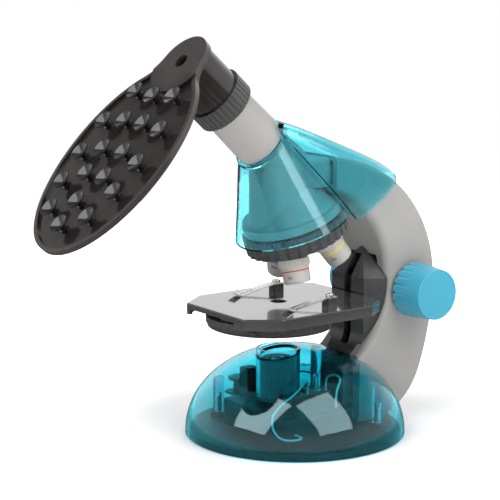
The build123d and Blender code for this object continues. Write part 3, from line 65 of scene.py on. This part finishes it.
# ------------------------------------------------------------------ material building blocks
class Finish:
    """A material on a Principled shader, with helpers that add the detail real surfaces show."""

    def __init__(self, name, color, roughness, metallic=0.0, ior=1.5, specular=0.5):
        self.material = bpy.data.materials.new(name)
        self.material.use_nodes = True
        self.tree = self.material.node_tree
        self.shader = self.tree.nodes["Principled BSDF"]
        self.out = self.tree.nodes["Material Output"]
        self.coords = self.add("ShaderNodeTexCoord").outputs["Object"]
        self.shader.inputs["Base Color"].default_value = (*color, 1)
        self.shader.inputs["Roughness"].default_value = roughness
        self.shader.inputs["Metallic"].default_value = metallic
        self.shader.inputs["IOR"].default_value = ior
        self.shader.inputs["Specular IOR Level"].default_value = specular
        self.color = color
        self.roughness = roughness
        self.base = None       # socket of the base colour, once something varies it
        self.normal = None     # socket of the relief, once there is any

    def add(self, kind, **values):
        node = self.tree.nodes.new(kind)
        for key, value in values.items():
            setattr(node, key, value)
        return node

    def link(self, a, b):
        self.tree.links.new(a, b)

    def noise(self, scale, detail=4.0, stretch=None):
        """Noise over the object's own coordinates, in features of 1/scale metres."""
        node = self.add("ShaderNodeTexNoise")
        node.inputs["Scale"].default_value = scale
        node.inputs["Detail"].default_value = detail
        source = self.coords
        if stretch:
            mapping = self.add("ShaderNodeMapping")
            mapping.inputs["Scale"].default_value = stretch
            self.link(source, mapping.inputs["Vector"])
            source = mapping.outputs["Vector"]
        self.link(source, node.inputs["Vector"])
        return node.outputs["Fac"]

    def spread(self, source, low, high, start=0.35, end=0.65):
        """source from start..end mapped to low..high."""
        node = self.add("ShaderNodeMapRange")
        node.inputs["From Min"].default_value = start
        node.inputs["From Max"].default_value = end
        node.inputs["To Min"].default_value = low
        node.inputs["To Max"].default_value = high
        self.link(source, node.inputs["Value"])
        return node.outputs["Result"]

    def bump(self, source, distance, strength=1.0):
        """Relief of that depth in metres, on top of any relief already there."""
        node = self.add("ShaderNodeBump")
        node.inputs["Strength"].default_value = strength
        node.inputs["Distance"].default_value = distance
        self.link(source, node.inputs["Height"])
        if self.normal:
            self.link(self.normal, node.inputs["Normal"])
        self.normal = node.outputs["Normal"]
        self.link(self.normal, self.shader.inputs["Normal"])
        return self

    def uneven_gloss(self, scale, amount):
        """Roughness that wanders by amount either way."""
        value = self.spread(self.noise(scale), self.roughness - amount, self.roughness + amount)
        self.link(value, self.shader.inputs["Roughness"])
        return self

    def mottle(self, scale, other, share=1.0):
        """Base colour that drifts towards other in soft patches."""
        mix = self.add("ShaderNodeMix", data_type="RGBA")
        mix.inputs["A"].default_value = (*self.color, 1)
        mix.inputs["B"].default_value = (*other, 1)
        self.link(self.spread(self.noise(scale), 0.0, share), mix.inputs["Factor"])
        self.base = mix.outputs["Result"]
        self.link(self.base, self.shader.inputs["Base Color"])
        return self

    def lighten_edges(self, other, amount=0.6):
        """Colour drawn towards other along sharp convex edges, found from the shape's pointiness."""
        geometry = self.add("ShaderNodeNewGeometry")
        edge_share = self.spread(geometry.outputs["Pointiness"], 0.0, amount, 0.53, 0.60)
        mix = self.add("ShaderNodeMix", data_type="RGBA")
        self.link(edge_share, mix.inputs["Factor"])
        self.link(self.base, mix.inputs["A"])
        mix.inputs["B"].default_value = (*other, 1)
        self.base = mix.outputs["Result"]
        self.link(self.base, self.shader.inputs["Base Color"])
        return self

    def coat(self, weight, roughness, ior=1.5):
        """Clear gloss on top of everything else."""
        self.shader.inputs["Coat Weight"].default_value = weight
        self.shader.inputs["Coat Roughness"].default_value = roughness
        self.shader.inputs["Coat IOR"].default_value = ior
        return self


# features of moulded plastic, per metre: flow marks, gloss patches, and shallow sink marks
FLOW_SCALE, GLOSS_SCALE = 45.0, 160.0
SINK_SCALE, SINK_DEPTH = 28.0, 0.00012


def moulded(name, color, roughness, grain=0.00002, grain_scale=2600.0, shade=0.9, gloss=0.05):
    """Injection-moulded plastic: fine spark-eroded grain, faint flow marks and uneven gloss."""
    darker = tuple(c * shade for c in color)
    finish = Finish(name, color, roughness)
    finish.mottle(FLOW_SCALE, darker)
    finish.uneven_gloss(GLOSS_SCALE, gloss)
    finish.bump(finish.noise(grain_scale, 3.0), grain)
    finish.bump(finish.noise(SINK_SCALE, 2.0), SINK_DEPTH, 0.5)
    return finish


def clear(name, tint, depth_color, density, roughness, shadow_tint):
    """Clear coloured plastic: pale at the face, deep where the light runs along the wall."""
    finish = Finish(name, tint, roughness, ior=1.49)
    finish.shader.inputs["Transmission Weight"].default_value = 1.0
    finish.uneven_gloss(90.0, 0.015)
    finish.bump(finish.noise(22.0, 2.0), 0.00010, 0.5)
    finish.bump(finish.noise(1500.0, 2.0), 0.0000012, 0.5)
    absorb = finish.add("ShaderNodeVolumeAbsorption")
    absorb.inputs["Color"].default_value = (*depth_color, 1)
    absorb.inputs["Density"].default_value = density
    finish.link(absorb.outputs["Volume"], finish.out.inputs["Volume"])
    # lamps shine through it, tinted
    path = finish.add("ShaderNodeLightPath")
    through = finish.add("ShaderNodeBsdfTransparent")
    through.inputs["Color"].default_value = (*shadow_tint, 1)
    mix = finish.add("ShaderNodeMixShader")
    finish.link(path.outputs["Is Shadow Ray"], mix.inputs["Fac"])
    finish.link(finish.shader.outputs["BSDF"], mix.inputs[1])
    finish.link(through.outputs["BSDF"], mix.inputs[2])
    finish.link(mix.outputs["Shader"], finish.out.inputs["Surface"])
    return finish


def metal(name, color, roughness, brushed=None):
    """Bright metal with polishing marks, drawn out along one direction if brushed is given."""
    finish = Finish(name, color, roughness, metallic=1.0)
    finish.mottle(300.0, tuple(c * 0.82 for c in color))
    finish.uneven_gloss(500.0, roughness * 0.3)
    finish.bump(finish.noise(900.0, 3.0, brushed), 0.0000012)
    return finish


# ------------------------------------------------------------------ the finishes, colours as linear RGB
TEAL_DEPTH = (0.012, 0.77, 0.87)       # what is left of white light along a wall, at the density given
TEAL = clear("clear_teal", (0.56, 0.94, 0.98), TEAL_DEPTH, 210.0, 0.03, (0.02, 0.46, 0.51))
DOME = clear("clear_teal_dome", (0.42, 0.90, 0.93), TEAL_DEPTH, 280.0, 0.03, (0.05, 0.50, 0.58))
GLASS = clear("clear_glass", (0.97, 0.99, 1.0), (0.80, 0.93, 0.92), 20.0, 0.02, (0.92, 0.96, 0.97))
GREY = moulded("warm_grey", (0.345, 0.335, 0.32), 0.42, shade=0.95)
GREY.lighten_edges((0.45, 0.44, 0.42), 0.4)
BLACK = moulded("black_satin", (0.030, 0.029, 0.030), 0.28, shade=0.92, gloss=0.02)
BLACK.lighten_edges((0.09, 0.09, 0.09), 0.5)
STAGE = moulded("stage_black", (0.026, 0.025, 0.025), 0.12, grain=0.000003, shade=0.8, gloss=0.03)
STAGE.lighten_edges((0.09, 0.09, 0.09), 0.5).coat(1.0, 0.06, 2.0)
PLATE = moulded("black_gloss", (0.014, 0.010, 0.010), 0.16, grain=0.000006, shade=0.8, gloss=0.04)
PLATE.lighten_edges((0.05, 0.045, 0.045), 0.5).coat(0.4, 0.08)
DARK = moulded("dark_plastic", (0.009, 0.009, 0.010), 0.40, shade=0.75)
BLUE = moulded("sky_blue", (0.050, 0.34, 0.48), 0.34, shade=0.95, gloss=0.015)
BLUE.lighten_edges((0.16, 0.52, 0.72), 0.5)
WHITE = moulded("white_plastic", (0.72, 0.72, 0.69), 0.4, shade=0.95)
BOARD = moulded("board", (0.012, 0.075, 0.045), 0.35, grain=0.00001, shade=0.6)
RUBBER = moulded("rubber_black", (0.010, 0.010, 0.010), 0.20, grain=0.000004, shade=0.7, gloss=0.05)
PAD = moulded("rubber_pad", (0.020, 0.020, 0.020), 0.75, grain=0.00006, shade=0.7)
STEEL = metal("steel", (0.78, 0.77, 0.75), 0.16)
SPRING = metal("spring_steel", (0.86, 0.85, 0.83), 0.30, (1.0, 0.08, 1.0))
BRASS = metal("brass", (0.72, 0.52, 0.22), 0.25)
WIRES = {
    "lead_positive": moulded("wire_white", (0.75, 0.76, 0.74), 0.35, shade=0.9),
    "lead_negative": moulded("wire_grey", (0.45, 0.62, 0.66), 0.35, shade=0.9),
    "lead_control": moulded("wire_black", (0.03, 0.03, 0.03), 0.35, shade=0.8),
}


JACKET_DARK, JACKET_COPPER = (0.02, 0.02, 0.025), (0.55, 0.28, 0.10)
COPPER_FROM_X = 0.0174     # the copper band is on this side of the battery box
PAINT_EDGE = 0.0002        # half the softness of the jacket's printed edge


def cell_jacket():
    """Printed jacket of the cells: dark body and a copper band towards one end."""
    finish = Finish("cell_jacket", JACKET_DARK, 0.30, metallic=0.4)
    split = finish.add("ShaderNodeSeparateXYZ")
    finish.link(finish.coords, split.inputs["Vector"])
    start, end = COPPER_FROM_X - PAINT_EDGE, COPPER_FROM_X + PAINT_EDGE
    band = finish.spread(split.outputs["X"], 0.0, 1.0, start, end)
    mix = finish.add("ShaderNodeMix", data_type="RGBA")
    mix.inputs["A"].default_value = (*JACKET_DARK, 1)
    mix.inputs["B"].default_value = (*JACKET_COPPER, 1)
    finish.link(band, mix.inputs["Factor"])
    finish.link(mix.outputs["Result"], finish.shader.inputs["Base Color"])
    finish.uneven_gloss(200.0, 0.06)
    finish.bump(finish.noise(400.0), 0.00001)
    return finish


RING_EDGE = 0.00006        # half the softness of a painted ring's edge


def objective_finish(name, axis, band_color, band_at, band_width):
    """Satin grey barrel with a painted ring round it, band_at from the shoulder."""
    finish = moulded(name + "_paint", (0.47, 0.455, 0.425), 0.33, grain=0.000008, shade=0.95)
    finish.lighten_edges((0.58, 0.56, 0.53), 0.4)
    offset = finish.add("ShaderNodeVectorMath", operation="SUBTRACT")
    finish.link(finish.coords, offset.inputs[0])
    offset.inputs[1].default_value = APEX + axis * (SEAT + band_at)
    along = finish.add("ShaderNodeVectorMath", operation="DOT_PRODUCT")
    finish.link(offset.outputs["Vector"], along.inputs[0])
    along.inputs[1].default_value = axis
    from_middle = finish.add("ShaderNodeMath", operation="ABSOLUTE")
    finish.link(along.outputs["Value"], from_middle.inputs[0])
    start, end = band_width / 2 - RING_EDGE, band_width / 2 + RING_EDGE
    inside = finish.spread(from_middle.outputs["Value"], 1.0, 0.0, start, end)
    mix = finish.add("ShaderNodeMix", data_type="RGBA")
    finish.link(inside, mix.inputs["Factor"])
    finish.link(finish.base, mix.inputs["A"])
    mix.inputs["B"].default_value = (*band_color, 1)
    finish.link(mix.outputs["Result"], finish.shader.inputs["Base Color"])
    return finish


FINISHES = {
    TEAL: ("hood_front", "hood_rear"),
    DOME: ("base_dome",),
    GLASS: ("led_lamp", "condenser_lens", "prism", "eyepiece_lenses", "objective_lenses"),
    GREY: ("arm_right", "arm_left", "head_body", "nosepiece_base", "eyepiece_tube"),
    STAGE: ("stage_plate",),
    BLACK: ("focus_column", "clip_posts", "turret", "eyepiece", "diaphragm_housing",
            "diaphragm_disc", "stage_carriage"),
    PLATE: ("phone_plate",),
    RUBBER: ("suction_cups", "friction_washers"),
    PAD: ("rubber_pads",),
    DARK: ("base_plate", "battery_box", "battery_door", "lamp_holder", "potentiometer", "brightness_wheel",
           "prism_holder"),
    BLUE: ("knob_right", "knob_left"),
    WHITE: ("focus_pinion", "focus_rack", "shaft_bushes"),
    BOARD: ("lamp_board", "control_board"),
    STEEL: ("base_screws", "battery_door_screw", "lamp_screw", "arm_screws", "focus_shaft", "clip_screws",
            "housing_screws", "turret_screw"),
    SPRING: ("battery_contacts", "stage_clip_left", "stage_clip_right", "click_spring"),
    BRASS: ("diaphragm_pivot",),
    cell_jacket(): ("aa_cells",),
}
# painted ring of each objective: colour, distance from the shoulder, width
BANDS = {
    "objective_4x": ((0.55, 0.015, 0.02), 0.0066, 0.0007),
    "objective_10x": ((0.72, 0.60, 0.04), 0.0076, 0.0011),
    "objective_40x": ((0.03, 0.20, 0.55), 0.0076, 0.0009),
}


def dress(node, finish):
    """The CAD node takes that finish all over."""
    slots = nodes[node].data.materials
    slots.clear()
    slots.append(finish.material)


for finish, names in FINISHES.items():
    for name in names:
        dress(name, finish)
for name, finish in WIRES.items():
    dress(name, finish)
for name, (color, at, width) in BANDS.items():
    dress(name, objective_finish(name, objective_axis(OBJECTIVE_TURN[name]), color, at, width))

# ------------------------------------------------------------------ power numbers on the objectives
BARREL_R, BARREL_FROM = 0.0082, 0.0042    # barrel's radius, and how far below the shoulder it starts
BARREL_TAPER = 0.0262      # loss of radius per metre down the barrel
NUMBER_TURN = 28.0         # degrees round the barrel from the side that faces the user
INK_T, INK_SUNK = 0.00004, 0.00012     # half thickness of the ink, depth the flat text starts at
INK_PROUD = 0.00002        # how far the bent ink stands out
NUMBER_INK = moulded("number_ink", (0.03, 0.03, 0.03), 0.5, shade=0.8)


def power_number(text, objective, at, size):
    """The number printed on the barrel, on the side that the user sees, at that far below the shoulder."""
    axis = objective_axis(OBJECTIVE_TURN[objective])
    towards = CAMERA_AT - APEX
    outward = (towards - axis * towards.dot(axis)).normalized()
    outward = Matrix.Rotation(radians(NUMBER_TURN), 3, axis) @ outward
    curve = bpy.data.curves.new("number_" + text, "FONT")
    curve.body = text
    curve.size = size
    curve.align_x = "CENTER"
    curve.align_y = "CENTER"
    curve.extrude = INK_T
    curve.resolution_u = 4
    label = bpy.data.objects.new("number_" + text, curve)
    scene.collection.objects.link(label)
    up = -axis
    right = up.cross(outward)
    turn = Matrix((right, up, outward)).transposed().to_4x4()
    place = APEX + axis * (SEAT + at) + outward * (BARREL_R - INK_SUNK)
    label.matrix_world = Matrix.Translation(place) @ turn
    curve.materials.append(NUMBER_INK.material)
    bpy.context.view_layer.update()
    # as a mesh, bent round the barrel
    mesh = bpy.data.meshes.new_from_object(label.evaluated_get(bpy.context.evaluated_depsgraph_get()))
    mesh.transform(label.matrix_world)
    bpy.data.objects.remove(label)
    centre = APEX + axis * SEAT
    for vertex in mesh.vertices:
        height = (vertex.co - centre).dot(axis)
        radial = vertex.co - centre - axis * height
        depth = radial.dot(outward) - (BARREL_R - INK_SUNK)
        radial.normalize()
        taper = (height - BARREL_FROM) * BARREL_TAPER
        vertex.co = centre + axis * height + radial * (BARREL_R - taper + INK_PROUD + depth)
    piece = bpy.data.objects.new("number_" + text, mesh)
    scene.collection.objects.link(piece)
    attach(piece, "nosepiece_turret")


NUMBER_SIZE = 0.0030
power_number("4x", "objective_4x", 0.0102, NUMBER_SIZE)
power_number("10x", "objective_10x", 0.0115, NUMBER_SIZE)
power_number("40x", "objective_40x", 0.0115, NUMBER_SIZE)

# ------------------------------------------------------------------ floor
FLOOR_HALF, FLOOR_Z = 0.8, -0.0002
FLOOR_CORNERS = [(x * FLOOR_HALF, y * FLOOR_HALF, FLOOR_Z) for x, y in ((-1, -1), (1, -1), (1, 1), (-1, 1))]
GLOW_FROM, GLOW_FULL = 0.10, 0.32      # distances from the object between which the floor starts to glow

floor_mesh = bpy.data.meshes.new("floor")
floor_mesh.from_pydata(FLOOR_CORNERS, [], [(0, 1, 2, 3)])
floor = bpy.data.objects.new("floor", floor_mesh)
scene.collection.objects.link(floor)
floor_finish = Finish("floor_paper", (0.93, 0.93, 0.93), 0.6)
floor_finish.mottle(6.0, (0.91, 0.91, 0.91))
floor_finish.bump(floor_finish.noise(800.0), 0.00002)
# away from the object the floor glows until it is as white as the studio behind it
distance = floor_finish.add("ShaderNodeVectorMath", operation="LENGTH")
floor_finish.link(floor_finish.coords, distance.inputs[0])
glow = floor_finish.spread(distance.outputs["Value"], 0.0, 1.0, GLOW_FROM, GLOW_FULL)
floor_finish.shader.inputs["Emission Color"].default_value = (1.0, 1.0, 1.0, 1)
floor_finish.link(glow, floor_finish.shader.inputs["Emission Strength"])
floor_mesh.materials.append(floor_finish.material)
floor.visible_glossy = False

# ------------------------------------------------------------------ world and lamps
FILL_LIGHT = 0.22
# brightness that a reflection meets at each sine of the elevation
REFLECTED = ((-0.10, 0.14), (0.05, 1.0), (0.24, 1.0), (0.55, 0.12))


def studio_world():
    """World that is white to the eye and gives a weaker fill light.

    A reflection shows a white band round the horizon, with a dim ceiling and a dim table.
    """
    world = bpy.data.worlds.new("studio")
    world.use_nodes = True
    make, join = world.node_tree.nodes.new, world.node_tree.links.new
    background = world.node_tree.nodes["Background"]
    background.inputs["Color"].default_value = (1.0, 1.0, 1.0, 1)
    # brightness by height
    direction = make("ShaderNodeTexCoord")
    split = make("ShaderNodeSeparateXYZ")
    join(direction.outputs["Generated"], split.inputs["Vector"])
    height = make("ShaderNodeMapRange")
    height.inputs["From Min"].default_value = -1.0
    join(split.outputs["Z"], height.inputs["Value"])
    band = make("ShaderNodeValToRGB")
    join(height.outputs["Result"], band.inputs["Fac"])
    stops = band.color_ramp.elements
    while len(stops) < len(REFLECTED):
        stops.new(0.5)
    for stop, (rise, brightness) in zip(stops, REFLECTED):
        stop.position = (rise + 1) / 2
        stop.color = (brightness, brightness, brightness, 1)
    # reflections meet that band, and what is seen directly or through clear plastic is white
    path = make("ShaderNodeLightPath")
    reflection = make("ShaderNodeMath")
    reflection.operation = "GREATER_THAN"
    join(path.outputs["Is Glossy Ray"], reflection.inputs[0])
    join(path.outputs["Is Transmission Ray"], reflection.inputs[1])
    reflected = make("ShaderNodeMix")
    join(reflection.outputs["Value"], reflected.inputs["Factor"])
    reflected.inputs["A"].default_value = 1.0
    join(band.outputs["Color"], reflected.inputs["B"])
    # after a matt bounce only the fill light is left
    level = make("ShaderNodeMix")
    join(path.outputs["Diffuse Depth"], level.inputs["Factor"])
    join(reflected.outputs["Result"], level.inputs["A"])
    level.inputs["B"].default_value = FILL_LIGHT
    join(level.outputs["Result"], background.inputs["Strength"])
    return world


scene.world = studio_world()
scene.view_settings.view_transform = "Standard"
LIGHTS_AIM = Vector((0, 0, 0.10))


def softbox(name, azimuth, elevation, distance, size, power):
    """Rectangular studio light that faces the object from that direction, in degrees and metres."""
    turn, rise = radians(azimuth), radians(elevation)
    place = LIGHTS_AIM + distance * Vector((cos(rise) * cos(turn), cos(rise) * sin(turn), sin(rise)))
    data = bpy.data.lights.new(name, "AREA")
    data.shape = "RECTANGLE"
    data.size, data.size_y = size
    data.energy = power
    light = bpy.data.objects.new(name, data)
    light.location = place
    light.rotation_euler = (LIGHTS_AIM - place).to_track_quat("-Z", "Y").to_euler()
    scene.collection.objects.link(light)


softbox("key_left", -88, 44, 1.0, (0.72, 1.0), 11.0)
softbox("key_right", 9, 44, 1.0, (0.72, 1.0), 9.0)
softbox("back", 140, 50, 1.4, (1.0, 1.0), 6.0)
